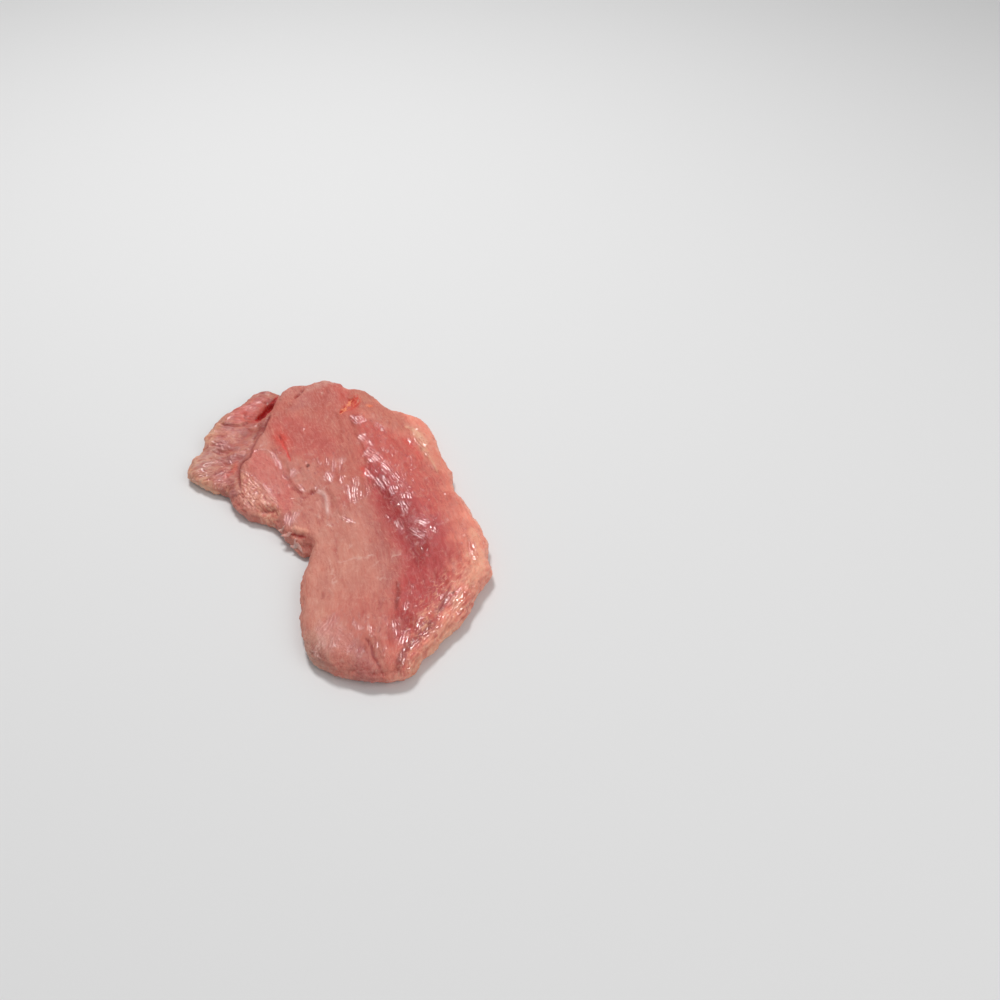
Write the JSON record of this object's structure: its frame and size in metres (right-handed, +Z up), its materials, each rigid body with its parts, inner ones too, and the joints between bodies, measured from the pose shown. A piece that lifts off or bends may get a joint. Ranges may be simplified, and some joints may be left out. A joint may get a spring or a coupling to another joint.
{
  "type": "pork schnitzel",
  "caption": "Raw uncoated pork schnitzel: a thin bent slice of lean pork with rounded cut edges, a folded side muscle and seams in relief, lying flat.",
  "frame": {"origin": "on the surface that the slice rests on, under the middle of its outline", "axes": "+X across the slice, +Y along it from the rounded near end to the far end, +Z up"},
  "size_m": [0.1376, 0.1732, 0.011],
  "materials": {
    "raw_pork": "moist satin"
  },
  "bodies": {
    "root": {"schnitzel": "raw_pork"}
  },
  "joints": []
}
